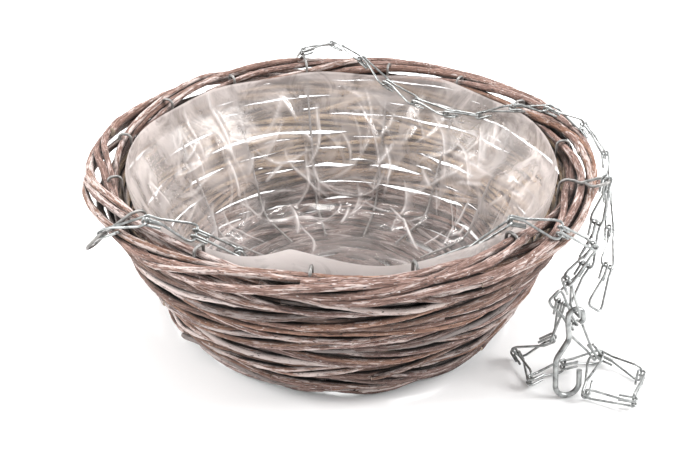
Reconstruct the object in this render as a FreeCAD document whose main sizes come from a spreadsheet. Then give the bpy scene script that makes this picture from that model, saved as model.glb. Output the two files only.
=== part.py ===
"""A willow hanging basket of 14 inches: woven bowl, wire stakes, clear liner, three chains and a hook.

Frame: millimetres, +Z up, origin at the middle of the base where the basket stands.
Azimuths are measured about +Z from +X. The chains lie as they do when the basket stands on a bench.
"""
import FreeCAD, Part
import math
import os
from FreeCAD import Placement, Rotation, Vector

SIZES = {
    # the rim: a flat bundle of four rods
    "rim_outer_radius": 175.0,
    "rim_rod_radius": 3.4,
    # the wall: rows of weavers on a rounded heel and a straight flank
    "row_count": 9,
    "row_radius": 6.5,
    "heel_start_radius": 102.0,
    "heel_bend_radius": 24.0,
    "flank_angle": 67.3,
    "flank_top_height": 103.0,
    "base_radius": 95.0,
    "base_thickness": 10.0,
    # the wires that stand inside the weave and curl over the rim
    "stake_radius": 1.0,
    "stake_gap": 0.5,
    "stake_foot_radius": 70.0,
    "eye_radius": 6.5,
    "outer_eye_rise": 48.0,
    # the film that lines the bowl
    "liner_thickness": 1.0,
    "liner_gap": 0.5,
    "liner_top_height": 120.5,
    "liner_top_radius": 148.6,
    # the chains
    "link_pitch": 29.5,
    "link_count": 14,
    "link_wire_radius": 0.8,
    "hook_turn_radius": 2.3,
    "hook_half_spacing": 2.0,
    "bow_half_width": 5.6,
    "bow_corner_radius": 2.2,
    "tail_length": 9.0,
    # the top hook
    "top_wire_radius": 1.8,
    "top_ring_radius": 5.2,
    # how far outward of the ring's middle chains b and c end once lifted, so that they clear it
    "end_spread": 13.0,
}

# where each rim rod runs in the section of the rim: inward from the outer radius, and height
RIM_RODS = [(19.0, 116.0), (11.2, 114.6), (3.8, 117.0), (11.5, 121.8)]

# where the plain wires stand; the three others end in the chains' eyes
STAKE_AZIMUTHS = [3.0, 30.0, 53.0, 76.0, 125.0, 149.0, 173.0, 197.0, 238.0, 264.0, 286.0, 311.0]

# the way the hook reaches from its ring as it stands on the bench, and its bends: (across, away, radius)
HOOK_LEAN = (0.050, -0.218, -0.960)
HOOK_BENDS = [
    (-4.2, 15.0, 8.0), (-13.2, 28.0, 9.0), (-13.4, 54.6, 7.9), (3.2, 54.6, 7.9), (3.2, 38.0, 0.0),
]

# how each chain lies from its eye to the ring of the hook
CHAIN_ROUTES = {
    # over the left of the rim, slack across the mouth, over the right of the rim and down to the hook
    "a": [
        (-141, -113, 123), (-114, -115, 133), (-88, -117, 126), (-61.3, -112.5, 109.1), (-50, -111, 85),
        (-30.8, -115.7, 68.9), (-3.2, -113, 67.8), (23, -111, 85), (49, -112, 98), (76, -112, 109),
        (98, -112, 128), (125.7, -117.2, 128.4), (149, -110, 114), (140.4, -107.2, 86.2),
        (150.3, -102.7, 55.6),
    ],
    # along the back of the mouth, over the right of the rim and forwards outside it to the hook
    "b": [
        (-33, 173, 128), (-8, 162, 139), (15, 145, 132), (35, 128, 118), (58, 112, 109), (82, 94, 107),
        (105, 77, 113), (125.9, 64.4, 124.6), (147.6, 46.4, 132.6), (171.5, 27.4, 127.5),
        (182.6, 3.9, 117.7), (181, -23, 102), (179.4, -46.8, 88), (173.1, -76.6, 72.7),
        (162, -97.4, 53.9),
    ],
    # down outside the wall, in a slack heap on the bench and up again to the hook
    "c": [
        (169, -60, 131), (163.7, -67.8, 102.6), (159.8, -72.7, 78.3), (143.1, -88.1, 55.5),
        (140, -87, 23), (119, -79, 7), (125, -108, 7), (150, -92, 7), (176.1, -82.5, 6.6),
        (197, -101, 7.2), (187, -129, 7.2), (160.7, -122.2, 7.2), (168.8, -97.1, 17.7),
        (150.5, -93.2, 42.2), (145.2, -94.3, 51.3),
    ],
}
# bends of less than this many degrees leave a link free to lie at its neighbours' roll
FREE_BEND = 12.0
ROLL_ROUNDS = 300
# every hinge has at least this much play, in degrees
LEAST_BEND = 2.0


def unit(v):
    """The vector's direction."""
    return v * (1.0 / v.Length)


def across(v, along):
    """The direction of v once its part along another direction is taken out."""
    return unit(v - along * v.dot(along))


def same_way(v, other):
    """v, turned round if it points against the other."""
    return v if v.dot(other) >= 0 else v * -1.0


def polar(radius, height, azimuth):
    """A point at a radius, a height and an azimuth in degrees."""
    turn = math.radians(azimuth)
    return Vector(radius * math.cos(turn), radius * math.sin(turn), height)


def stations(route, pitch):
    """Points one pitch apart, each aimed from the one before at the next of the route."""
    points = [Vector(*route[0])]
    for aim in route[1:]:
        points.append(points[-1] + unit(Vector(*aim) - points[-1]) * pitch)
    return points


def bend(one, two):
    """The angle in degrees between two directions."""
    return math.degrees(math.acos(max(-1.0, min(1.0, one.dot(two)))))


class Chain:
    """One chain at rest: its points, the axis of each hinge and how far each turns to hang straight."""

    def __init__(self, name, pull_to, over_outside=False):
        self.over_outside = over_outside
        self.points = stations(CHAIN_ROUTES[name], SIZES["link_pitch"])
        self.along = [unit(q - p) for p, q in zip(self.points, self.points[1:])]
        self.pull = unit(pull_to - self.points[0])
        self.axes, self.angles = [], []
        axis, angle = unit(self.along[0].cross(self.pull)), bend(self.along[0], self.pull)
        if over_outside:
            axis, angle = axis * -1.0, 360.0 - angle
        self.axes.append(axis)
        self.angles.append(angle)
        for before, after in zip(self.along, self.along[1:]):
            turn = bend(before, after)
            kinked = turn >= LEAST_BEND
            self.axes.append(unit(after.cross(before)) if kinked else across(self.axes[-1], after))
            self.angles.append(max(turn, LEAST_BEND))
        self.rolls = self.settle_rolls()

    def lifted(self):
        """The turn of the last link when the chain hangs straight."""
        turn = Rotation()
        for axis, angle in zip(self.axes, self.angles):
            turn = turn.multiply(Rotation(axis, angle))
        return turn

    def settle_rolls(self, last=None):
        """The line of each bow and its hooks: the hinge's axis at a sharp bend, else the neighbours' mean."""
        lines = list(self.axes) + [last or self.axes[-1]]
        fixed = [i == 0 or a >= FREE_BEND for i, a in enumerate(self.angles)] + [last is not None]
        for _ in range(ROLL_ROUNDS):
            for i, kept in enumerate(fixed):
                if kept:
                    continue
                mean = Vector(lines[i])
                for j in (i - 1, i + 1):
                    if 0 <= j < len(lines):
                        mean = mean + same_way(lines[j], lines[i])
                ahead = self.along[min(i, len(self.along) - 1)]
                behind = self.along[max(i - 1, 0)]
                lines[i] = across(mean, unit(ahead + behind))
        for i in range(1, len(lines)):
            lines[i] = same_way(lines[i], lines[i - 1])
        return lines

    def link_frame(self, i):
        """A link's start, direction, and the lines of its hooks and of its bow."""
        ahead = self.along[i]
        hooks = across(self.rolls[i], ahead)
        bow = same_way(across(self.rolls[i + 1], ahead), hooks)
        return self.points[i], ahead, hooks, bow


def apex_of(feet, length):
    """The point above the basket at one distance from the three eyes."""
    one, two, three = feet
    x_way = unit(two - one)
    across_part = x_way.dot(three - one)
    y_way = unit(three - one - x_way * across_part)
    z_way = same_way(x_way.cross(y_way), Vector(0, 0, 1))
    far = (two - one).Length
    side = y_way.dot(three - one)
    x = far / 2
    y = (across_part ** 2 + side ** 2) / (2 * side) - across_part * x / side
    return one + x_way * x + y_way * y + z_way * math.sqrt(length ** 2 - x ** 2 - y ** 2)


def lay_chains():
    """The three chains; b and c end a little outward of the apex, beside the ring that holds all three."""
    feet = {name: Vector(*route[0]) for name, route in CHAIN_ROUTES.items()}
    apex = apex_of(list(feet.values()), SIZES["link_pitch"] * SIZES["link_count"])
    chains = {}
    for name, foot in feet.items():
        outward = unit(Vector(foot.x - apex.x, foot.y - apex.y, 0))
        spread = 0.0 if name == "a" else SIZES["end_spread"]
        chains[name] = Chain(name, apex + outward * spread, over_outside=name == "c")
    return chains


class Hook:
    """The hook at rest on the last bow of a chain, and the hinge that lets it hang upright."""

    def __init__(self, chain):
        rest = unit(Vector(*HOOK_LEAN))
        upright = chain.lifted().inverted().multVec(Vector(0, 0, 1))
        self.pivot = chain.points[-1]
        self.axis = unit(rest.cross(upright))
        self.angle = bend(rest, upright)
        self.away = rest
        self.right = same_way(self.axis.cross(rest), Vector(1, 0, 0))
        drop = SIZES["top_ring_radius"] - SIZES["top_wire_radius"] - SIZES["link_wire_radius"] - 0.3
        self.middle = self.pivot + rest * drop
        chain.rolls = chain.settle_rolls(self.axis)

    def route(self):
        """The middle line of the hook's wire: once round the ring, down the shank, round the bend."""
        size = SIZES["top_ring_radius"]

        def at(u, away):
            return self.middle + self.right * u + self.away * away

        ring = [
            (at(size * 0.52, size * 0.95), 0.0),
            (at(size, size * 0.55), size * 0.3),
            (at(size, -size), size * 0.98),
            (at(-size, -size), size * 0.98),
            (at(-size, size * 0.9), size * 0.9),
        ]
        return ring + [(at(u, away), radius) for u, away, radius in HOOK_BENDS]


def radial(azimuth, profile):
    """A profile of (radius, height, bend radius) set at an azimuth."""
    return [(polar(radius, height, azimuth), bent) for radius, height, bent in profile]


def stake_foot():
    """A stake from the middle of the base, round the heel and up the inside of the wall."""
    height = SIZES["base_thickness"] + SIZES["stake_gap"] + SIZES["stake_radius"] + 0.1
    return [
        (SIZES["stake_foot_radius"], height, 0.0),
        (113.0, 15.1, 18.0),
        (150.4, 105.6, 30.0),
    ]


def stake_route(azimuth):
    """A plain stake: curled over the inner rod of the rim and down between the rods."""
    curl = [(150.4, 125.2, 3.2), (158.8, 125.2, 3.0), (158.8, 120.9, 0.0)]
    return radial(azimuth, stake_foot() + curl)


def eye_route(chain):
    """A stake that goes over the rim and ends in a chain's eye; its wire is the first hinge of the chain."""
    size, bent = SIZES["eye_radius"], SIZES["eye_radius"] * 0.72
    pivot, axis = chain.points[0], chain.axes[0]
    toward = unit(chain.along[0] + chain.pull)
    inbound = -1.0
    if chain.over_outside:
        toward = unit(Vector(pivot.x, pivot.y, SIZES["outer_eye_rise"]))
        inbound = 1.0
    toward = across(toward, axis)
    middle = pivot - toward * size

    def at(side, ahead):
        return middle + axis * (side * size) + toward * (ahead * size)

    near = 1.0 if math.hypot(at(1, 0).x, at(1, 0).y) < math.hypot(at(-1, 0).x, at(-1, 0).y) else -1.0
    start = at(near, -inbound * 1.35)
    ring = [
        (start, 3.0),
        (at(near, inbound), bent),
        (at(-near, inbound), bent),
        (at(-near, -inbound), bent),
        (at(near * 0.5, -inbound), 0.0),
    ]
    azimuth = math.degrees(math.atan2(start.y, start.x))
    return radial(azimuth, stake_foot() + [(150.4, 128.0, 5.5), (160.0, 128.0, 4.0)]) + ring


def link_route(start, ahead, hooks, bow):
    """The middle line of one link's wire: tail, hook, leg, bow, leg, hook, tail, as (point, bend radius)."""
    pitch, turn, half = SIZES["link_pitch"], SIZES["hook_turn_radius"], SIZES["hook_half_spacing"]
    wide, corner, tail = SIZES["bow_half_width"], SIZES["bow_corner_radius"], SIZES["tail_length"]
    up_hooks, up_bow = ahead.cross(hooks), ahead.cross(bow)

    def near(x, side, z):
        return start + ahead * x + hooks * side + up_hooks * z

    def far(x, side, z):
        return start + ahead * x + bow * side + up_bow * z

    right = [
        (near(tail, half, turn * 0.8), 0.0),
        (near(-turn, half, turn), turn * 0.93),
        (near(-turn, half, -turn), turn * 0.93),
        (near(tail * 0.8, half, -turn * 0.85), 4.0),
        (far(pitch - 4.5, wide, -turn * 0.12), 5.0),
        (far(pitch, wide * 0.94, 0.0), corner),
    ]
    left = [
        (near(tail, -half, turn * 0.8), 0.0),
        (near(-turn, -half, turn), turn * 0.93),
        (near(-turn, -half, -turn), turn * 0.93),
        (near(tail * 0.8, -half, -turn * 0.85), 4.0),
        (far(pitch - 4.5, -wide, -turn * 0.12), 5.0),
        (far(pitch, -wide * 0.94, 0.0), corner),
    ]
    return right + left[::-1]


# ---- build the document
def row_section(i):
    """How far round the heel a row of the wall sits, in degrees, and how far up the flank, in mm."""
    bent, flank = SIZES["heel_bend_radius"], math.radians(SIZES["flank_angle"])
    heel = bent * flank
    flank_foot = SIZES["row_radius"] + bent * (1 - math.cos(flank))
    straight = (SIZES["flank_top_height"] - flank_foot) / math.sin(flank)
    reach = (heel + straight) * i / (SIZES["row_count"] - 1)
    if reach < heel:
        return math.degrees(reach / bent), 0.0
    return SIZES["flank_angle"], reach - heel


def middle_line(route):
    """One wire of straight runs and tangent bends through a route of (corner, bend radius)."""
    edges = []
    here = route[0][0]
    for (before, _), (corner, radius), (after, _) in zip(route, route[1:], route[2:]):
        back, ahead = unit(before - corner), unit(after - corner)
        half = math.radians(bend(back, ahead) / 2)
        reach = radius / math.tan(half)
        start, end = corner + back * reach, corner + ahead * reach
        centre = corner + unit(back + ahead) * (radius / math.sin(half))
        crest = centre + unit(corner - centre) * radius
        if (start - here).dot(corner - here) <= 0:
            raise ValueError("the bends of a wire run into each other")
        edges.append(Part.LineSegment(here, start).toShape())
        edges.append(Part.Arc(start, crest, end).toShape())
        here = end
    edges.append(Part.LineSegment(here, route[-1][0]).toShape())
    return Part.Wire(edges)


def wire_solid(route, wire_radius):
    """A round wire along a route."""
    line = middle_line(route)
    heading = unit(route[1][0] - route[0][0])
    section = Part.Wire([Part.makeCircle(wire_radius, route[0][0], heading)])
    solid = line.makePipeShell([section], True, False)
    expected = math.pi * wire_radius ** 2 * line.Length
    if not solid.isValid() or abs(solid.Volume / expected - 1) > 0.01:
        raise ValueError("a wire did not sweep cleanly")
    return solid


def add_shape(label, shape, at=None):
    """A sub-part from a finished shape."""
    feature = doc.addObject("Part::Feature", label)
    feature.Shape = shape
    feature.Placement = Placement(at or Vector(), Rotation())
    return feature


def add_ring(label, radius, height, section):
    """A sub-part that is one rod bent round the basket; each argument is an expression of the sheet."""
    ring = doc.addObject("Part::Torus", label)
    ring.setExpression("Radius1", radius)
    ring.setExpression("Radius2", section)
    ring.setExpression("Placement.Base.z", height)
    return ring


def plane_of(body, role):
    """One of a body's own origin planes or axes."""
    return next(item for item in body.Origin.OriginFeatures if item.Role == role)


def liner_line(inward):
    """One face of the film in section, from the middle of the floor to the free edge, moved inward."""
    behind_film = SIZES["row_radius"] + SIZES["stake_gap"] + 2 * SIZES["stake_radius"] + SIZES["liner_gap"]
    bent = SIZES["heel_bend_radius"] - behind_film - inward
    centre_height = SIZES["row_radius"] + SIZES["heel_bend_radius"]
    line = [(0.0, centre_height - bent)]
    for share in (0.0, 0.35, 0.7, 1.0):
        turn = math.radians(SIZES["flank_angle"] * share)
        radius = SIZES["heel_start_radius"] + bent * math.sin(turn)
        line.append((radius, centre_height - bent * math.cos(turn)))
    top_radius = SIZES["liner_top_radius"] - inward
    low_radius, low_height = line[-1]
    rise = (top_radius - low_radius) * math.tan(math.radians(SIZES["flank_angle"]))
    return line + [(top_radius, low_height + rise), (top_radius, SIZES["liner_top_height"])]


def add_liner():
    """The clear film: a turned shell on the inside of the stakes, open at the top."""
    body = doc.addObject("PartDesign::Body", "liner")
    sketch = body.newObject("Sketcher::SketchObject", "liner_section")
    sketch.AttachmentSupport = [(plane_of(body, "XZ_Plane"), "")]
    sketch.MapMode = "FlatFace"
    outer = liner_line(0.0)
    inner = liner_line(SIZES["liner_thickness"])
    corners = [Vector(r, z, 0) for r, z in outer + inner[::-1]]
    for start, end in zip(corners, corners[1:] + corners[:1]):
        sketch.addGeometry(Part.LineSegment(start, end), False)
    turned = body.newObject("PartDesign::Revolution", "liner_turned")
    turned.Profile = sketch
    turned.ReferenceAxis = (sketch, ["V_Axis"])
    turned.Angle = 360.0
    body.Tip = turned
    return body


os.makedirs("parts", exist_ok=True)
doc = FreeCAD.newDocument("HangingBasket")
sheet = doc.addObject("Spreadsheet::Sheet", "Sizes")
for line, (alias, value) in enumerate(SIZES.items(), start=1):
    sheet.set(f"A{line}", alias)
    sheet.set(f"B{line}", str(value))
    sheet.setAlias(f"B{line}", alias)
doc.recompute()

nodes = []

# the basket: base, wall, rim, wires and liner
base = doc.addObject("Part::Cylinder", "base")
base.setExpression("Radius", "Sizes.base_radius")
base.setExpression("Height", "Sizes.base_thickness")
nodes.append(base)
for i in range(int(SIZES["row_count"])):
    turn, run = row_section(i)
    heel, flank = f"{turn:.4f} deg", "Sizes.flank_angle * 1 deg"
    across_row = f"sin({heel}) * Sizes.heel_bend_radius + {run:.4f} * cos({flank})"
    up_row = f"(1 - cos({heel})) * Sizes.heel_bend_radius + {run:.4f} * sin({flank})"
    nodes.append(add_ring(
        f"weave_row_{i + 1}",
        f"Sizes.heel_start_radius + {across_row}",
        f"Sizes.row_radius + {up_row}",
        "Sizes.row_radius",
    ))
for i, (inward, height) in enumerate(RIM_RODS, start=1):
    across_rim = f"Sizes.rim_outer_radius - {inward}"
    nodes.append(add_ring(f"rim_rod_{i}", across_rim, f"{height}", "Sizes.rim_rod_radius"))
nodes.append(add_liner())

chains = lay_chains()
hook = Hook(chains["a"])
stakes = [wire_solid(stake_route(azimuth), SIZES["stake_radius"]) for azimuth in STAKE_AZIMUTHS]
nodes.append(add_shape("wire_stakes", Part.makeCompound(stakes)))
eyes = [wire_solid(eye_route(chain), SIZES["stake_radius"]) for chain in chains.values()]
nodes.append(add_shape("chain_eyes", Part.makeCompound(eyes)))

# the chains and the hook, each piece about its own pivot
for name, chain in chains.items():
    for i in range(int(SIZES["link_count"])):
        pivot, ahead, hooks, bow = chain.link_frame(i)
        link = wire_solid(link_route(Vector(), ahead, hooks, bow), SIZES["link_wire_radius"])
        nodes.append(add_shape(f"chain_{name}_link_{i + 1:02d}", link, pivot))
shifted = [(point - hook.pivot, radius) for point, radius in hook.route()]
nodes.append(add_shape("hook", wire_solid(shifted, SIZES["top_wire_radius"]), hook.pivot))

doc.recompute()
for node in nodes:
    if "Invalid" in node.State or "Error" in node.State:
        raise ValueError(f"{node.Label} did not compute")
    if node.Shape.isNull() or not node.Shape.isValid() or node.Shape.Volume <= 0:
        raise ValueError(f"{node.Label} has no sound shape")
for node in nodes:
    node.Shape.exportStep(f"parts/{node.Label}.step")
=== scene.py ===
"""The looks of a willow hanging basket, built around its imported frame.

Everything is in metres, in the frame's own axes: +Z up, the basket standing on z = 0.
Places and sizes come from the frame; shapes that the frame keeps plain are made here.
"""

import math
import random

import bpy
import numpy as np
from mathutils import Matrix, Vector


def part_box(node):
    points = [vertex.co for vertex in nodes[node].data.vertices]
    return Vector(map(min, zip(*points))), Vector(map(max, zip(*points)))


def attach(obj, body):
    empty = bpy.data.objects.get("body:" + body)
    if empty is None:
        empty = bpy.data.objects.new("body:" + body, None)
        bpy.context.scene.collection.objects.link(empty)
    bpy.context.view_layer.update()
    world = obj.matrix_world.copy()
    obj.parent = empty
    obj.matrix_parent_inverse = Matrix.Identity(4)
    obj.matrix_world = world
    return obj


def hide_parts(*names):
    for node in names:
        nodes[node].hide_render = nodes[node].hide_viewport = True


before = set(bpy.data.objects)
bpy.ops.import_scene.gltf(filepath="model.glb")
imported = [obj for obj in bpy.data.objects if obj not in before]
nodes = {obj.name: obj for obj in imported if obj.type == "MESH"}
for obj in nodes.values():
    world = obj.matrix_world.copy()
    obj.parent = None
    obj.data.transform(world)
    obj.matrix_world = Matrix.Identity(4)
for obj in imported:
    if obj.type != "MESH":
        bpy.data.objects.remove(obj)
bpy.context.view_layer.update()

MM = 0.001
TURN = 2 * math.pi
UP = np.array([0.0, 0.0, 1.0])


# ---------------------------------------------------------------- places read from the frame
def ring_of(node):
    """Centre radius, centre height and rod radius of a ring-shaped node."""
    low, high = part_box(node)
    rod = (high.z - low.z) / 2
    return high.x - rod, (high.z + low.z) / 2, rod


ROWS = [ring_of(f"weave_row_{i}") for i in range(1, 10)]
RIM_RODS = [ring_of(f"rim_rod_{i}") for i in range(1, 5)]
RIM_MIDDLE = (
    sum(ring[0] for ring in RIM_RODS) / len(RIM_RODS),
    sum(ring[1] for ring in RIM_RODS) / len(RIM_RODS),
)


# ---------------------------------------------------------------- small helpers
def part_way(value, start, reach):
    """0 up to start, rising evenly to 1 at start + reach."""
    return np.clip((value - start) / reach, 0, 1)


def within(value, low, high):
    """A number kept between two limits."""
    return min(high, max(low, value))


def circle_path(radius, turn, height):
    """Points at a radius, a turn about the basket's axis and a height."""
    return np.stack([radius * np.cos(turn), radius * np.sin(turn), height], axis=-1)


def wander(rnd, low, high, size):
    """A smooth closed wobble round the basket, of about that size, with whole numbers of waves."""
    waves = [(k, rnd.gauss(0, 1), rnd.uniform(0, TURN)) for k in range(low, high + 1)]
    scale = size / math.sqrt(len(waves) / 2)
    return lambda turn: scale * sum(a * np.sin(k * turn + p) for k, a, p in waves)


def ends_eased(run, reach):
    """0 along the middle of a rod, rising to 1 at both ends over a reach."""
    near = np.minimum(run, run[-1] - run)
    t = np.clip(1 - near / reach, 0, 1)
    return t * t * (3 - 2 * t)


def tapered(rnd, run, loss):
    """1 at the thick end of a rod, less that loss at its thin end, which may be either end."""
    return 1 - loss * (run / run[-1] if rnd.random() < 0.5 else 1 - run / run[-1])


# ---------------------------------------------------------------- rods
ROD_SIDES = 12
ROD_STEP = 2.4 * MM
# how a rod is out of round: waves round it, radians per metre along it, share of its radius
LUMPS = ((2, 90, 0.05), (3, -210, 0.04), (1, 640, 0.03), (4, 1100, 0.025))
# each rod draws this many phases, and its lumps use the first of them
LUMP_DRAWS = 6
FIRST_KNOT = (0.0, 0.06)
KNOT_GAP = (0.03, 0.11)
KNOT_RISE = (0.05, 0.22)
KNOT_WIDTH = (0.0018, 0.0035)
GRAIN_START = (0, 50)
# the shade value that marks a cut end
CUT_END = -1.0


class Bundle:
    """Rods collected into one mesh, each with its own grain and tone."""

    def __init__(self, seed):
        self.random = random.Random(seed)
        self.points, self.faces, self.grain, self.tone = [], [], [], []
        self.count = 0

    def knots(self, run):
        """How much wider the rod is at each place, from its knots."""
        rnd = self.random
        wider = np.zeros_like(run)
        where = rnd.uniform(*FIRST_KNOT)
        while where < run[-1]:
            rise = rnd.uniform(*KNOT_RISE)
            wider += rise * np.exp(-(((run - where) / rnd.uniform(*KNOT_WIDTH)) ** 2))
            where += rnd.uniform(*KNOT_GAP)
        return wider

    def add(self, points, grain, shade, tone):
        """A run of points with their attributes."""
        self.points.append(points)
        self.grain.append(np.column_stack([grain, np.full(len(points), shade)]))
        self.tone.append(tone)
        self.count += len(points)

    def rod(self, path, radii, warm, wash, dark, inner=0.0):
        """A round rod along a path, slightly out of round, with cut ends.

        warm, wash and dark are how orange, chalky and dark its bark is, dark also holding
        painted shade for core rods and the lowest courses; inner is how tan its inward side is.
        """
        steps = np.gradient(path, axis=0)
        steps /= np.linalg.norm(steps, axis=1)[:, None]
        up = UP - steps * steps[:, 2:3]
        up /= np.linalg.norm(up, axis=1)[:, None]
        side = np.cross(steps, up)
        lengths = np.linalg.norm(np.diff(path, axis=0), axis=1)
        run = np.concatenate([[0.0], np.cumsum(lengths)])
        a, s = np.meshgrid(np.arange(ROD_SIDES) * TURN / ROD_SIDES, run)

        shifts = [self.random.uniform(0, TURN) for _ in range(LUMP_DRAWS)]
        uneven = 1 + sum(
            share * np.sin(waves * a + along * s + shift)
            for (waves, along, share), shift in zip(LUMPS, shifts)
        )
        wide = radii[:, None] * uneven * (1 + self.knots(run)[:, None])
        across, above = wide * np.cos(a), wide * np.sin(a)
        ring = path[:, None] + side[:, None] * across[..., None] + up[:, None] * above[..., None]

        grain = np.stack([s + self.random.uniform(*GRAIN_START), across, above], axis=-1)
        from_axis = np.maximum(np.linalg.norm(path[:, :2], axis=1), 1e-6)
        outward = path[:, None, :2] / from_axis[:, None, None]
        facing = ring[..., :2] - path[:, None, :2]
        inward = np.clip(-(facing * outward).sum(-1) / wide * 1.3 + 0.1, 0, 1) * inner
        tone = np.stack([np.full_like(a, warm), wash * (1 - 0.6 * inward), inward], axis=-1)

        last, first = len(path) - 1, self.count
        self.add(ring.reshape(-1, 3), grain.reshape(-1, 3), dark, tone.reshape(-1, 3))
        k = np.arange(last)[:, None] * ROD_SIDES
        m = np.arange(ROD_SIDES)[None]
        after = (m + 1) % ROD_SIDES
        quads = np.stack([k + m, k + after, k + ROD_SIDES + after, k + ROD_SIDES + m], axis=-1)
        self.faces.extend((quads.reshape(-1, 4) + first).tolist())
        for end in (0, last):
            cap = list(range(self.count, self.count + ROD_SIDES))
            self.add(ring[end], grain[end], CUT_END, tone[end])
            self.faces.append(cap[::-1] if end == 0 else cap)

    def build(self, name, replaced):
        """The finished piece, riding on the basket in place of its CAD nodes."""
        mesh = bpy.data.meshes.new(name)
        mesh.from_pydata(np.concatenate(self.points).tolist(), [], self.faces)
        grain = np.concatenate(self.grain)
        for label, values in (("grain", grain[:, :3]), ("tone", np.concatenate(self.tone))):
            layer = mesh.attributes.new(label, "FLOAT_VECTOR", "POINT")
            layer.data.foreach_set("vector", values.astype(np.float32).ravel())
        layer = mesh.attributes.new("shade", "FLOAT", "POINT")
        layer.data.foreach_set("value", grain[:, 3].astype(np.float32))
        mesh.polygons.foreach_set("use_smooth", [len(f) == 4 for f in self.faces])
        mesh.materials.append(willow)
        mesh.update()
        piece = bpy.data.objects.new(name, mesh)
        bpy.context.scene.collection.objects.link(piece)
        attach(piece, "basket")
        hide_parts(*replaced)


# ---------------------------------------------------------------- materials
def shader(name):
    """A material with its links, its Principled shader and a helper that adds nodes."""
    material = bpy.data.materials.new(name)
    material.use_nodes = True
    tree = material.node_tree
    principled = next(n for n in tree.nodes if n.type == "BSDF_PRINCIPLED")

    def add(kind, **settings):
        node = tree.nodes.new(kind)
        for key, value in settings.items():
            setattr(node, key, value)
        return node

    return material, tree.links, principled, add


def is_socket(value):
    """Whether a value is another node's output."""
    return hasattr(value, "is_linked")


def ramp(add, links, value, stops):
    """A colour ramp or grey ramp from a value: stops are (position, colour)."""
    node = add("ShaderNodeValToRGB")
    while len(node.color_ramp.elements) < len(stops):
        node.color_ramp.elements.new(0.5)
    for element, (position, colour) in zip(node.color_ramp.elements, stops):
        element.position = position
        shade = colour if hasattr(colour, "__len__") else (colour,) * 3
        element.color = (*shade, 1.0)
    links.new(value, node.inputs[0])
    return node.outputs[0]


def mix(add, links, factor, one, two, blend="MIX"):
    """one and two mixed by a factor; each may be a socket or a colour."""
    node = add("ShaderNodeMix", data_type="RGBA", blend_type=blend)
    factor_in, one_in, two_in = node.inputs[0], node.inputs[6], node.inputs[7]
    for socket, value in ((factor_in, factor), (one_in, one), (two_in, two)):
        if is_socket(value):
            links.new(value, socket)
        elif hasattr(value, "__len__"):
            socket.default_value = (*value, 1.0)
        else:
            socket.default_value = value
    return node.outputs[2]


def math_node(add, links, operation, one, two, clamp=False):
    """One arithmetic step on sockets or numbers."""
    node = add("ShaderNodeMath", operation=operation, use_clamp=clamp)
    for socket, value in zip(node.inputs, (one, two)):
        if is_socket(value):
            links.new(value, socket)
        else:
            socket.default_value = value
    return node.outputs[0]


def attribute(add, name, output="Fac"):
    """A mesh attribute as a socket."""
    return add("ShaderNodeAttribute", attribute_name=name).outputs[output]


def noise(add, links, place, scale, **settings):
    """Noise over a place socket."""
    texture = add("ShaderNodeTexNoise")
    texture.inputs["Scale"].default_value = scale
    for label, value in settings.items():
        texture.inputs[label].default_value = value
    links.new(place, texture.inputs["Vector"])
    return texture.outputs["Fac"]


def grain_noise(add, links, along, around, detail, rough, offset=0.0):
    """Noise stretched along the rod: along and around are waves per metre."""
    mapping = add("ShaderNodeMapping")
    mapping.inputs["Location"].default_value = (offset, offset, offset)
    mapping.inputs["Scale"].default_value = (along, around, around)
    links.new(attribute(add, "grain", "Vector"), mapping.inputs["Vector"])
    return noise(add, links, mapping.outputs[0], 1.0, Detail=detail, Roughness=rough)


def bumped(add, links, height, strength, distance, *shaders):
    """A bump from a height socket, given to each shader."""
    bump = add("ShaderNodeBump")
    bump.inputs["Strength"].default_value = strength
    bump.inputs["Distance"].default_value = distance
    links.new(height, bump.inputs["Height"])
    for node in shaders:
        links.new(bump.outputs[0], node.inputs["Normal"])


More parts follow.
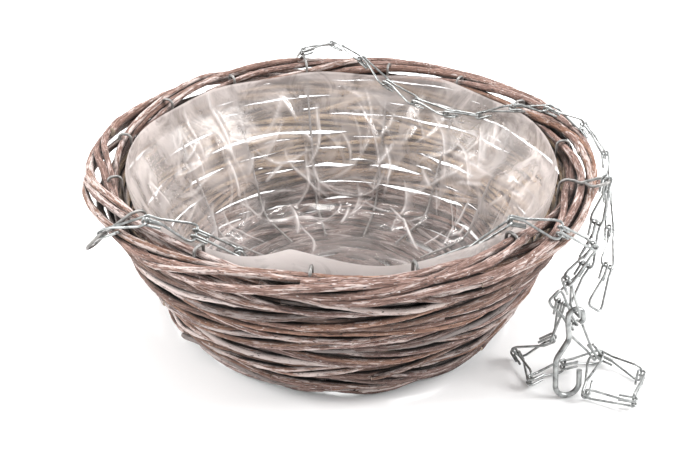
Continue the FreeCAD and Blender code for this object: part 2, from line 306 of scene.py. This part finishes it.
def willow_material():
    """Whitewashed willow bark: streaky grey-brown, orange where warm, chalky where washed, with
    painted shade between the rods.
    """
    chalk_white = (0.740, 0.635, 0.600)
    fleck_white = (0.860, 0.790, 0.760)
    speck_black = (0.045, 0.032, 0.030)
    cut_wood = (0.50, 0.40, 0.31)
    gap_depth = 0.010
    material, links, principled, add = shader("willow")
    split = add("ShaderNodeSeparateXYZ")
    links.new(attribute(add, "tone", "Vector"), split.inputs[0])
    warm, wash, inward = split.outputs
    shade = attribute(add, "shade")

    # three noises along the grain: bark streaks, worn patches of wash, and small specks
    streak = grain_noise(add, links, 75, 1300, 8.0, 0.74)
    patch = grain_noise(add, links, 55, 420, 6.0, 0.68, 7.3)
    speck = grain_noise(add, links, 260, 900, 3.0, 0.6, 3.1)
    bark = ramp(add, links, streak, [
        (0.33, (0.024, 0.011, 0.009)), (0.45, (0.130, 0.068, 0.053)),
        (0.55, (0.290, 0.180, 0.156)), (0.68, (0.560, 0.430, 0.390)),
    ])
    orange = ramp(add, links, streak, [
        (0.32, (0.040, 0.015, 0.010)), (0.50, (0.240, 0.112, 0.066)),
        (0.68, (0.480, 0.290, 0.190)),
    ])
    tan = ramp(add, links, streak, [
        (0.32, (0.300, 0.195, 0.118)), (0.50, (0.740, 0.545, 0.350)),
        (0.68, (0.960, 0.790, 0.590)),
    ])
    colour = mix(add, links, warm, bark, orange)
    colour = mix(add, links, inward, colour, tan)
    chalk = math_node(add, links, "ADD", patch, math_node(add, links, "MULTIPLY", streak, 0.45))
    chalk = math_node(add, links, "ADD", chalk, math_node(add, links, "MULTIPLY", wash, 0.30))
    chalk = ramp(add, links, chalk, [(0.88, 0.0), (0.94, 0.50), (1.00, 0.80)])
    colour = mix(add, links, chalk, colour, chalk_white)
    flecks = ramp(add, links, speck, [(0.63, 0.0), (0.70, 0.7)])
    colour = mix(add, links, flecks, colour, fleck_white)
    specks = ramp(add, links, speck, [(0.33, 1.0), (0.39, 0.0)])
    colour = mix(add, links, specks, colour, speck_black)
    darker = ramp(add, links, shade, [(0.0, 1.0), (1.0, 0.30)])
    colour = mix(add, links, 1.0, colour, darker, "MULTIPLY")

    # painted shade in the gaps between the rods, and pale wood on the cut ends
    gap_occlusion = add("ShaderNodeAmbientOcclusion", samples=6)
    gap_occlusion.inputs["Distance"].default_value = gap_depth
    shadowed = ramp(add, links, gap_occlusion.outputs["AO"], [(0.30, 0.015), (0.82, 0.90)])
    colour = mix(add, links, 1.0, colour, shadowed, "MULTIPLY")
    cut = math_node(add, links, "LESS_THAN", shade, CUT_END / 2)
    colour = mix(add, links, cut, colour, cut_wood)
    links.new(colour, principled.inputs["Base Color"])
    rough = ramp(add, links, patch, [(0.3, 0.55), (0.7, 0.85)])
    links.new(rough, principled.inputs["Roughness"])
    bumped(add, links, math_node(add, links, "ADD", streak, speck), 0.8, 1.2 * MM, principled)
    return material


def galvanised_material(name, light, dark, rough_low, rough_high):
    """Zinc-coated wire: grey metal with a faint cloudy bloom."""
    material, links, principled, add = shader(name)
    place = add("ShaderNodeTexCoord").outputs["Object"]
    cloud = noise(add, links, place, 260.0, Detail=4.0)
    fine = noise(add, links, place, 1500.0, Detail=3.0)
    colour = ramp(add, links, cloud, [(0.30, dark), (0.62, light)])
    links.new(colour, principled.inputs["Base Color"])
    rough = add("ShaderNodeMapRange")
    rough.inputs["To Min"].default_value = rough_low
    rough.inputs["To Max"].default_value = rough_high
    links.new(cloud, rough.inputs["Value"])
    links.new(rough.outputs[0], principled.inputs["Roughness"])
    bumped(add, links, fine, 0.25, 0.2 * MM, principled)
    principled.inputs["Metallic"].default_value = 0.85
    return material


def film_material():
    """Clear plastic film: milky in patches, glossy, whitened along its sharp creases, partly with
    painted highlights.
    """
    milk_colour = (0.82, 0.745, 0.72)
    crease_and_highlight_white = (0.96, 0.93, 0.92)
    gloss_colour = (1.0, 0.955, 0.93, 1.0)
    most_opaque = 0.9
    light_through = 0.30
    material, links, principled, add = shader("clear_film")

    def blended(factor, one, two):
        """Two shaders mixed by a socket or a number."""
        node = add("ShaderNodeMixShader")
        if is_socket(factor):
            links.new(factor, node.inputs[0])
        else:
            node.inputs[0].default_value = factor
        links.new(one.outputs[0], node.inputs[1])
        links.new(two.outputs[0], node.inputs[2])
        return node

    crease_and_highlight = attribute(add, "crease_and_highlight")
    place = add("ShaderNodeTexCoord").outputs["Object"]
    cloud = noise(add, links, place, 34.0, Detail=6.0, Roughness=0.62, Distortion=1.2)
    patches = ramp(add, links, cloud, [(0.40, 0.45), (0.60, 1.0)])
    alpha = math_node(add, links, "MULTIPLY", attribute(add, "haze"), patches)
    # creases raise the opacity and whiten the colour: part whitening, part painted highlight
    alpha = math_node(add, links, "ADD", alpha, crease_and_highlight)
    alpha = math_node(add, links, "MINIMUM", alpha, most_opaque, clamp=True)
    colour = mix(add, links, crease_and_highlight, milk_colour, crease_and_highlight_white)
    links.new(colour, principled.inputs["Base Color"])
    principled.inputs["Roughness"].default_value = 0.35
    principled.inputs["Specular IOR Level"].default_value = 0.2
    glow = add("ShaderNodeBsdfTranslucent")
    links.new(colour, glow.inputs["Color"])
    body = blended(light_through, principled, glow)
    milk = blended(alpha, add("ShaderNodeBsdfTransparent"), body)

    gloss = add("ShaderNodeBsdfGlossy")
    gloss.inputs["Roughness"].default_value = 0.15
    gloss.inputs["Color"].default_value = gloss_colour
    fresnel = add("ShaderNodeFresnel")
    fresnel.inputs["IOR"].default_value = 1.6
    bumped(add, links, cloud, 0.35, 2 * MM, principled, gloss, fresnel)
    sheen = attribute(add, "sheen")
    shine = math_node(add, links, "MULTIPLY", fresnel.outputs[0], sheen, clamp=True)
    output = next(n for n in material.node_tree.nodes if n.type == "OUTPUT_MATERIAL")
    links.new(blended(shine, milk, gloss).outputs[0], output.inputs["Surface"])
    return material


willow = willow_material()
chain_wire = galvanised_material(
    "chain_zinc", light=(0.38, 0.39, 0.385), dark=(0.17, 0.176, 0.175),
    rough_low=0.20, rough_high=0.40,
)
stake_wire = galvanised_material(
    "stake_zinc", light=(0.30, 0.29, 0.28), dark=(0.15, 0.147, 0.143),
    rough_low=0.35, rough_high=0.6,
)
film = film_material()


# ---------------------------------------------------------------- the wall
ROW_STRANDS = 7
ROW_ROD = (2.0, 2.8)
ROW_RISE = 5.5 * MM
ROW_OVERLAP = (0.08, 0.30)
ROW_TAPER = 0.22
ROW_END = 16 * MM
ROW_END_SHIFTS = (-2.2, -1.2, 1.4, 2.2)
# the core rod of each course is darkened: painted shade inside the course
CORE_SHADE_DARK = 0.85
# the lowest courses: a little less warm, and darker with painted shade near the floor
LOW_ROWS = 3
# how tan the inward side of each course is, from the lowest
ROW_TAN = (0.0, 0.0, 0.1, 0.55, 0.9, 1.0, 1.0, 1.0, 0.8)


def weave_row(index):
    """One course: rods that twist slowly round a core, passing in and out of the stakes."""
    radius, height, tube = ROWS[index]
    bundle = Bundle(100 + index)
    rnd = bundle.random
    low = index < LOW_ROWS
    shared_out = wander(rnd, 2, 6, 0.5 * MM)
    shared_up = wander(rnd, 2, 7, 0.8 * MM)
    twist = rnd.choice((2, 3)) * (1 if index % 2 else -1)
    waves = 8 if index % 2 else 7
    start = rnd.uniform(0, TURN)
    for j in range(ROW_STRANDS + 1):
        core = j == ROW_STRANDS
        spread = 0.0 if core else 1.0
        own_out = wander(rnd, 6, 14, 0.35 * MM)
        own_up = wander(rnd, 5, 12, 0.6 * MM)
        own_phase = wander(rnd, 2, 6, 0.36)
        begin = rnd.uniform(0, TURN)
        for _ in range(2):
            length = TURN / 2 + rnd.uniform(*ROW_OVERLAP)
            turn = np.linspace(begin, begin + length, int(length * radius / ROD_STEP))
            run = (turn - turn[0]) * radius
            thick = rnd.uniform(*ROW_ROD) * MM
            taper = tapered(rnd, run, ROW_TAPER)
            phase = TURN * j / ROW_STRANDS + twist * turn + own_phase(turn)
            weave = np.sin(waves * turn + start)
            pinch = 0.96 + 0.16 * np.cos(waves * turn + start) ** 2
            out = shared_out(turn) + 1.0 * MM * weave + spread * (
                own_out(turn) + (tube - thick * 1.2) * np.cos(phase) * (1.04 - 0.15 * weave)
            )
            up = shared_up(turn) + spread * (own_up(turn) + ROW_RISE * pinch * np.sin(phase))
            eased = ends_eased(run, ROW_END) * spread
            out += eased * rnd.choice(ROW_END_SHIFTS) * MM
            up += eased * rnd.uniform(-1.5, 1.5) * MM
            path = circle_path(radius + out, turn, np.maximum(height + up, thick * 1.25))
            warm = within(rnd.gauss(0.22 if low else 0.28, 0.30), 0.0, 1.0)
            wash = within(rnd.gauss(0.40, 0.34), 0.0, 1.0)
            # the lowest courses get painted shade near the floor
            dark = within(rnd.gauss(0.25, 0.32) + (0.15 if low else 0.0), 0.0, 0.95)
            radii = thick * taper * (1 - 0.25 * eased)
            bundle.rod(path, radii, warm, wash, CORE_SHADE_DARK if core else dark, ROW_TAN[index])
            begin += TURN / 2
    name = f"weave_row_{index + 1}"
    bundle.build(f"{name}_rods", [name])


# ---------------------------------------------------------------- the rim
RIM_STRANDS = 7
RIM_TWISTS = 3
RIM_ROD = (2.3, 3.4)
RIM_HALF_WIDTH = 11.8 * MM
RIM_HALF_HEIGHT = 8.6 * MM
RIM_OVERLAP = (0.10, 0.35)
RIM_TAPER = 0.2
RIM_END = 20 * MM
RIM_END_SHIFTS = (-1.5, 1.6, 2.2)


def rim():
    """The rim: long rods in an open slow twist, with daylight between them in places."""
    bundle = Bundle(7)
    rnd = bundle.random
    mid_radius, mid_height = RIM_MIDDLE
    for j in range(RIM_STRANDS):
        own_phase = wander(rnd, 2, 6, 0.5)
        own_out = wander(rnd, 3, 9, 0.8 * MM)
        own_up = wander(rnd, 3, 9, 0.6 * MM)
        own_reach = wander(rnd, 2, 6, 0.16)
        begin = rnd.uniform(0, TURN)
        for _ in range(2):
            length = TURN / 2 + rnd.uniform(*RIM_OVERLAP)
            turn = np.linspace(begin, begin + length, int(length * mid_radius / ROD_STEP))
            run = (turn - turn[0]) * mid_radius
            thick = rnd.uniform(*RIM_ROD) * MM
            taper = tapered(rnd, run, RIM_TAPER)
            phase = TURN * j / RIM_STRANDS + RIM_TWISTS * turn + own_phase(turn)
            reach = np.clip(1 + own_reach(turn), 0.45, 1.06)
            out = own_out(turn) + (RIM_HALF_WIDTH - thick) * reach * np.cos(phase)
            up = own_up(turn) + (RIM_HALF_HEIGHT - thick) * reach * np.sin(phase)
            eased = ends_eased(run, RIM_END)
            out += eased * rnd.choice(RIM_END_SHIFTS) * MM
            path = circle_path(mid_radius + out, turn, mid_height + up)
            warm = rnd.choice((0.1, 0.2, 0.35, 0.6, 0.9))
            wash = within(rnd.gauss(0.42, 0.26), 0.0, 0.62)
            dark = within(rnd.gauss(0.0, 0.25), 0.0, 0.6)
            bundle.rod(path, thick * taper * (1 - 0.2 * eased), warm, wash, dark)
            begin += TURN / 2
    bundle.build("rim_rods", [f"rim_rod_{i}" for i in range(1, 5)])


# ---------------------------------------------------------------- the base
BASE_RIBS = 6
RIB_RADIUS = 3.0 * MM
RIB_HEIGHT = 3.8 * MM
RIB_POINTS = 70
FIRST_RING = 12 * MM
RING_STEP = 5.4 * MM
RING_ROD = (2.3, 3.0)
RING_HEIGHT = 6.2 * MM
RING_WEAVE = 1.6 * MM
RING_OVERLAP = 0.15
RING_FEWEST_POINTS = 40
RING_POINT_GAP = 2.6 * MM


def base():
    """The round base: stout ribs across the bottom with rods woven round them."""
    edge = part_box("base")[1].x
    bundle = Bundle(31)
    rnd = bundle.random
    for k in range(BASE_RIBS):
        turn = k * math.pi / BASE_RIBS + rnd.uniform(-0.05, 0.05)
        across = np.linspace(-edge * 0.99, edge * 0.99, RIB_POINTS)
        path = circle_path(across, turn, np.full(RIB_POINTS, RIB_HEIGHT))
        bundle.rod(path, np.full(RIB_POINTS, RIB_RADIUS), warm=0.1, wash=0.30, dark=0.70)
    ring = FIRST_RING
    while ring < edge - 2 * MM:
        thick = rnd.uniform(*RING_ROD) * MM
        length = TURN + RING_OVERLAP
        begin = rnd.uniform(0, TURN)
        count = max(RING_FEWEST_POINTS, int(length * ring / RING_POINT_GAP))
        turn = np.linspace(begin, begin + length, count)
        side = math.pi if int(ring / MM) % 2 else 0
        weave = np.sin(BASE_RIBS * turn + side) * RING_WEAVE
        around = ring + (turn - begin) / TURN * RING_STEP
        path = circle_path(around, turn, RING_HEIGHT + weave)
        warm, wash, dark = rnd.uniform(0, 0.15), rnd.uniform(0.2, 0.6), rnd.uniform(0.45, 0.85)
        bundle.rod(path, np.full(count, thick), warm, wash, dark)
        ring += RING_STEP
    bundle.build("base_rods", ["base"])


# ---------------------------------------------------------------- the film
FILM_ROWS, FILM_COLUMNS = 200, 640
FILM_SMOOTHING = 14
FILM_HOLE = 2 * MM
# the film's distance from the rods' centres, its lift from the liner's floor, and its edge
FILM_GAP = 10.4 * MM
FLOOR_LIFT = 0.6 * MM
SIDE_STOP = 16 * MM
FREE_EDGE = 15 * MM
EDGE_INSET = 0.8 * MM
WAVES = 26
# folds gather in regions: how many, middle turn and its scatter, distance out, strength
FOLD_REGIONS = (
    (66, 1.50, 0.55, (0.080, 0.195), (0.7, 1.15)),
    (22, 0.45, 0.35, (0.10, 0.19), (0.5, 1.0)),
    (20, 2.55, 0.35, (0.10, 0.19), (0.3, 0.8)),
)
STRAY_FOLDS = 26
# the flap that stands up at the front: its peak's turn and rise, and its reach on each side
FLAP_TURN = math.radians(259.3)
FLAP_RISE = 11.5 * MM
FLAP_REACH = (0.13, 0.27)
FRONT_TURN = math.radians(265)
FRONT_REACH = 0.45
EDGE_RISE = 22 * MM
EDGE_WOBBLE = 0.7 * MM


def film_line():
    """The film's section, from the middle of the floor to its free edge."""
    low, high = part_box("liner")
    floor = low.z + FLOOR_LIFT
    centres = np.array([(r, z) for r, z, _ in ROWS])
    steps = np.gradient(centres, axis=0)
    steps /= np.linalg.norm(steps, axis=1)[:, None]
    into = np.stack([-steps[:, 1], steps[:, 0]], axis=1)
    into[0] = (0.0, 1.0)
    side = centres + into * FILM_GAP
    side = side[side[:, 1] < high.z - SIDE_STOP]
    heel = side[0][0]
    top = high.x - EDGE_INSET
    return np.concatenate([
        [(0.0, floor), (heel * 0.5, floor), (heel * 0.93, floor)],
        side[1:],
        [(top, high.z - FREE_EDGE), (top, high.z)],
    ])


def smoothed(line):
    """A line of numbers with its corners rounded and its ends kept."""
    for _ in range(FILM_SMOOTHING):
        line[1:-1] = (line[:-2] + 2 * line[1:-1] + line[2:]) / 4
    return line


def film_waves(rnd, x, y):
    """Soft waves over the flat sheet, from 0 to 1."""
    push = np.zeros_like(x)
    for _ in range(WAVES):
        way = rnd.uniform(0, TURN)
        wave = rnd.uniform(28, 95)
        push += rnd.uniform(0.1, 1) * 30 / wave * np.sin(
            wave * (x * math.cos(way) + y * math.sin(way)) + rnd.uniform(0, TURN)
        )
    return (push - push.min()) / (push.max() - push.min())


def film_folds(rnd, x, y):
    """Sharp folds over the flat sheet: the ridges' heights, and how white the creases are, part
    whitening and part painted highlight.
    """
    folds = []
    for count, middle, scatter, out, strength in FOLD_REGIONS:
        for _ in range(count):
            folds.append((rnd.gauss(middle, scatter), rnd.uniform(*out), rnd.uniform(*strength)))
    for _ in range(STRAY_FOLDS):
        folds.append((rnd.uniform(0, TURN), rnd.uniform(0.02, 0.20), rnd.uniform(0.3, 0.8)))
    ridges, crease_and_highlight = np.zeros_like(x), np.zeros_like(x)
    for home, out, strength in folds:
        way = home + rnd.gauss(0, 0.85)
        long = rnd.uniform(0.020, 0.075)
        dx, dy = x - out * math.cos(home), y - out * math.sin(home)
        along = dx * math.cos(way) + dy * math.sin(way)
        off = -dx * math.sin(way) + dy * math.cos(way)
        off = off + 0.0035 * np.sin(along * rnd.uniform(50, 120) + home)
        off = off + along ** 2 * rnd.uniform(-5, 5)
        reach = np.clip(1 - (along / (long / 2)) ** 2, 0, 1)
        spread = rnd.uniform(3.0, 8.0) * MM
        ahead = off * rnd.choice((-1, 1)) > 0
        away = np.abs(off)
        wedge = np.where(ahead, np.exp(-away / spread), np.exp(-away / (spread * 0.35)))
        ridges += wedge * reach * strength * spread * 0.42
        # a thin white line on each crease, part whitening and part painted highlight; glow is a
        # painted highlight on one side of the fold
        lit = np.exp(-away / (0.9 * MM)) * reach ** 0.7
        glow = np.where(ahead, np.exp(-away / (spread * 0.5)), 0.0) * reach
        mark = rnd.choice((0.20, 0.40, 0.70, 1.0))
        crease_and_highlight = np.maximum(crease_and_highlight, lit * strength * mark)
        crease_and_highlight = np.maximum(crease_and_highlight, glow * strength * mark * rnd.choice((0.0, 0.35, 0.8)))
    return ridges, crease_and_highlight


def make_film():
    """The lining: one sheet of clear film pressed into the bowl, its edge standing up."""
    rnd = random.Random(55)
    corners = film_line()
    at = np.concatenate([[0], np.cumsum(np.linalg.norm(np.diff(corners, axis=0), axis=1))])
    end = at[-1]
    s = np.linspace(FILM_HOLE, end, FILM_ROWS)
    radius = smoothed(np.interp(s, at, corners[:, 0]))
    height = smoothed(np.interp(s, at, corners[:, 1]))
    slope_r, slope_z = np.gradient(radius), np.gradient(height)
    size = np.hypot(slope_r, slope_z)
    into_r, into_z = (-slope_z / size)[:, None], (slope_r / size)[:, None]
    t, ss = np.meshgrid(np.arange(FILM_COLUMNS) * TURN / FILM_COLUMNS, s)
    x_flat, y_flat = ss * np.cos(t), ss * np.sin(t)

    # the film hangs loose in the heel of the bowl, and close to the floor and the edge
    push = film_waves(rnd, x_flat, y_flat)
    ridges, crease_and_highlight = film_folds(rnd, x_flat, y_flat)
    heel = [0, 0.09, 0.12, 0.17, end - 0.012, end]
    loose = np.interp(ss, heel, [0.8, 2.5, 7.0, 6.0, 2.2, 0.6]) * MM
    calm = np.interp(ss, [0, 0.07, 0.10, end - 0.02, end], [0.3, 0.6, 1.0, 0.9, 0.3])
    depth = push * loose + ridges * calm
    r_all = radius[:, None] + into_r * depth
    z_all = height[:, None] + into_z * depth

    # the free edge: uneven all round, higher and turned outward at the front
    edge = part_way(ss, end - EDGE_RISE, EDGE_RISE)
    wobble = sum(rnd.gauss(0, 1) * np.sin(k * t + rnd.uniform(0, TURN)) for k in range(3, 12))
    from_peak = t - FLAP_TURN
    reach = np.where(from_peak < 0, *FLAP_REACH)
    flap = FLAP_RISE * np.exp(-np.abs(from_peak / reach) ** 1.3)
    z_all += edge * (wobble * EDGE_WOBBLE + flap)
    r_all += edge ** 2 * flap * 0.15

    # milkier at the sides and the edge, whitest at the flap, glossiest high at the back
    sideways = np.abs(np.cos(t))
    front = edge * np.exp(-(((t - FRONT_TURN) / FRONT_REACH) ** 2))
    # the flap is whitened like a crease: painted light shining through it
    crease_and_highlight = np.maximum(crease_and_highlight, 0.34 * front)
    haze = 0.40 + 0.26 * np.clip(sideways * 1.25 - 0.35, 0, 1) * part_way(ss, 0.11, 0.05)
    haze += 0.36 * part_way(ss, end - 0.034, 0.03)
    haze += 0.35 * (ss > end - 1.6 * MM)
    haze += 0.6 * front
    haze *= 0.50 + 0.50 * part_way(ss, 0.105, 0.05)
    sheen = 0.38 - 0.20 * np.clip(sideways * 1.3, 0, 1)
    sheen = 0.045 + sheen * part_way(ss, 0.142, 0.03)

    points = circle_path(r_all, t, z_all).reshape(-1, 3)
    points = np.concatenate([points, [[0.0, 0.0, z_all[0].mean()]]])
    k = np.arange(FILM_ROWS - 1)[:, None] * FILM_COLUMNS
    m = np.arange(FILM_COLUMNS)[None]
    after = (m + 1) % FILM_COLUMNS
    quads = np.stack([k + m, k + after, k + FILM_COLUMNS + after, k + FILM_COLUMNS + m], axis=-1)
    faces = quads.reshape(-1, 4).tolist()
    hub = FILM_ROWS * FILM_COLUMNS
    faces += [[(m + 1) % FILM_COLUMNS, m, hub] for m in range(FILM_COLUMNS)]
    mesh = bpy.data.meshes.new("film_liner")
    mesh.from_pydata(points.tolist(), [], faces)
    for label, values in (("haze", haze), ("crease_and_highlight", crease_and_highlight), ("sheen", sheen)):
        layer = mesh.attributes.new(label, "FLOAT", "POINT")
        layer.data.foreach_set("value", np.append(values.ravel(), 0.1).astype(np.float32))
    mesh.polygons.foreach_set("use_smooth", [True] * len(faces))
    mesh.materials.append(film)
    mesh.update()
    piece = bpy.data.objects.new("film_liner", mesh)
    bpy.context.scene.collection.objects.link(piece)
    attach(piece, "basket")
    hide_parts("liner")


for row in range(len(ROWS)):
    weave_row(row)
rim()
base()
make_film()


# ---------------------------------------------------------------- wire
def repaint(node, material):
    """A CAD node keeps its shape and takes a better material."""
    piece = nodes[node]
    if not piece.material_slots:
        piece.data.materials.append(material)
    for place in piece.material_slots:
        place.material = material


for label in nodes:
    if label.startswith("chain_") and "link" in label or label == "hook":
        repaint(label, chain_wire)
    elif label in ("wire_stakes", "chain_eyes"):
        repaint(label, stake_wire)


# ---------------------------------------------------------------- bench, lights and camera
BENCH_REACH = 4.0
LIGHT_TARGET = (0.0, 0.0, 0.06)
# each soft light: name, place, size and watts
LIGHTS = (
    ("key", (-1.35, -0.25, 0.85), 0.7, 19),
    ("fill", (1.35, -0.20, 0.90), 0.7, 23),
    ("top", (0.0, 0.55, 1.7), 0.6, 28),
)
WORLD_STRENGTH = 0.97
SENSOR_WIDTH = 36.0
LENS = 51.43
CAMERA_ELEVATION = math.radians(31.2)
CAMERA_DISTANCE = 0.727
CAMERA_AIM = (0.0057, 0.0, 0.0538)


def bench():
    """A plain white bench top."""
    far = BENCH_REACH
    corners = [(-far, -far, 0), (far, -far, 0), (far, far, 0), (-far, far, 0)]
    mesh = bpy.data.meshes.new("bench")
    mesh.from_pydata(corners, [], [(0, 1, 2, 3)])
    material, links, principled, add = shader("white_bench")
    soft = noise(add, links, add("ShaderNodeTexCoord").outputs["Object"], 3.0)
    colour = ramp(add, links, soft, [(0.0, 0.93), (1.0, 0.95)])
    links.new(colour, principled.inputs["Base Color"])
    principled.inputs["Roughness"].default_value = 0.9
    principled.inputs["Specular IOR Level"].default_value = 0.1
    principled.inputs["Emission Color"].default_value = (1.0, 1.0, 1.0, 1.0)
    principled.inputs["Emission Strength"].default_value = 0.02
    mesh.materials.append(material)
    piece = bpy.data.objects.new("bench", mesh)
    bpy.context.scene.collection.objects.link(piece)


def area_light(name, place, size, power):
    """A soft square light that faces the basket."""
    lamp = bpy.data.lights.new(name, "AREA")
    lamp.shape = "SQUARE"
    lamp.size = size
    lamp.energy = power
    holder = bpy.data.objects.new(name, lamp)
    holder.location = place
    x, y, z = np.array(LIGHT_TARGET) - np.array(place)
    tilt = math.atan2(z, math.hypot(x, y))
    holder.rotation_euler = (math.pi / 2 + tilt, 0, math.atan2(-x, y))
    bpy.context.scene.collection.objects.link(holder)


def stage():
    """Bench, soft studio lights, white surroundings and the camera."""
    bench()
    for light in LIGHTS:
        area_light(*light)
    world = bpy.data.worlds.new("studio")
    world.use_nodes = True
    background = next(n for n in world.node_tree.nodes if n.type == "BACKGROUND")
    background.inputs["Color"].default_value = (1.0, 1.0, 1.0, 1.0)
    background.inputs["Strength"].default_value = WORLD_STRENGTH
    scene = bpy.context.scene
    scene.world = world
    scene.view_settings.view_transform = "Standard"
    lens = bpy.data.cameras.new("camera")
    lens.sensor_width = SENSOR_WIDTH
    lens.lens = LENS
    camera = bpy.data.objects.new("camera", lens)
    x, y, z = CAMERA_AIM
    back = CAMERA_DISTANCE * math.cos(CAMERA_ELEVATION)
    rise = CAMERA_DISTANCE * math.sin(CAMERA_ELEVATION)
    camera.location = (x, y - back, z + rise)
    camera.rotation_euler = (math.pi / 2 - CAMERA_ELEVATION, 0, 0)
    scene.collection.objects.link(camera)
    scene.camera = camera


stage()
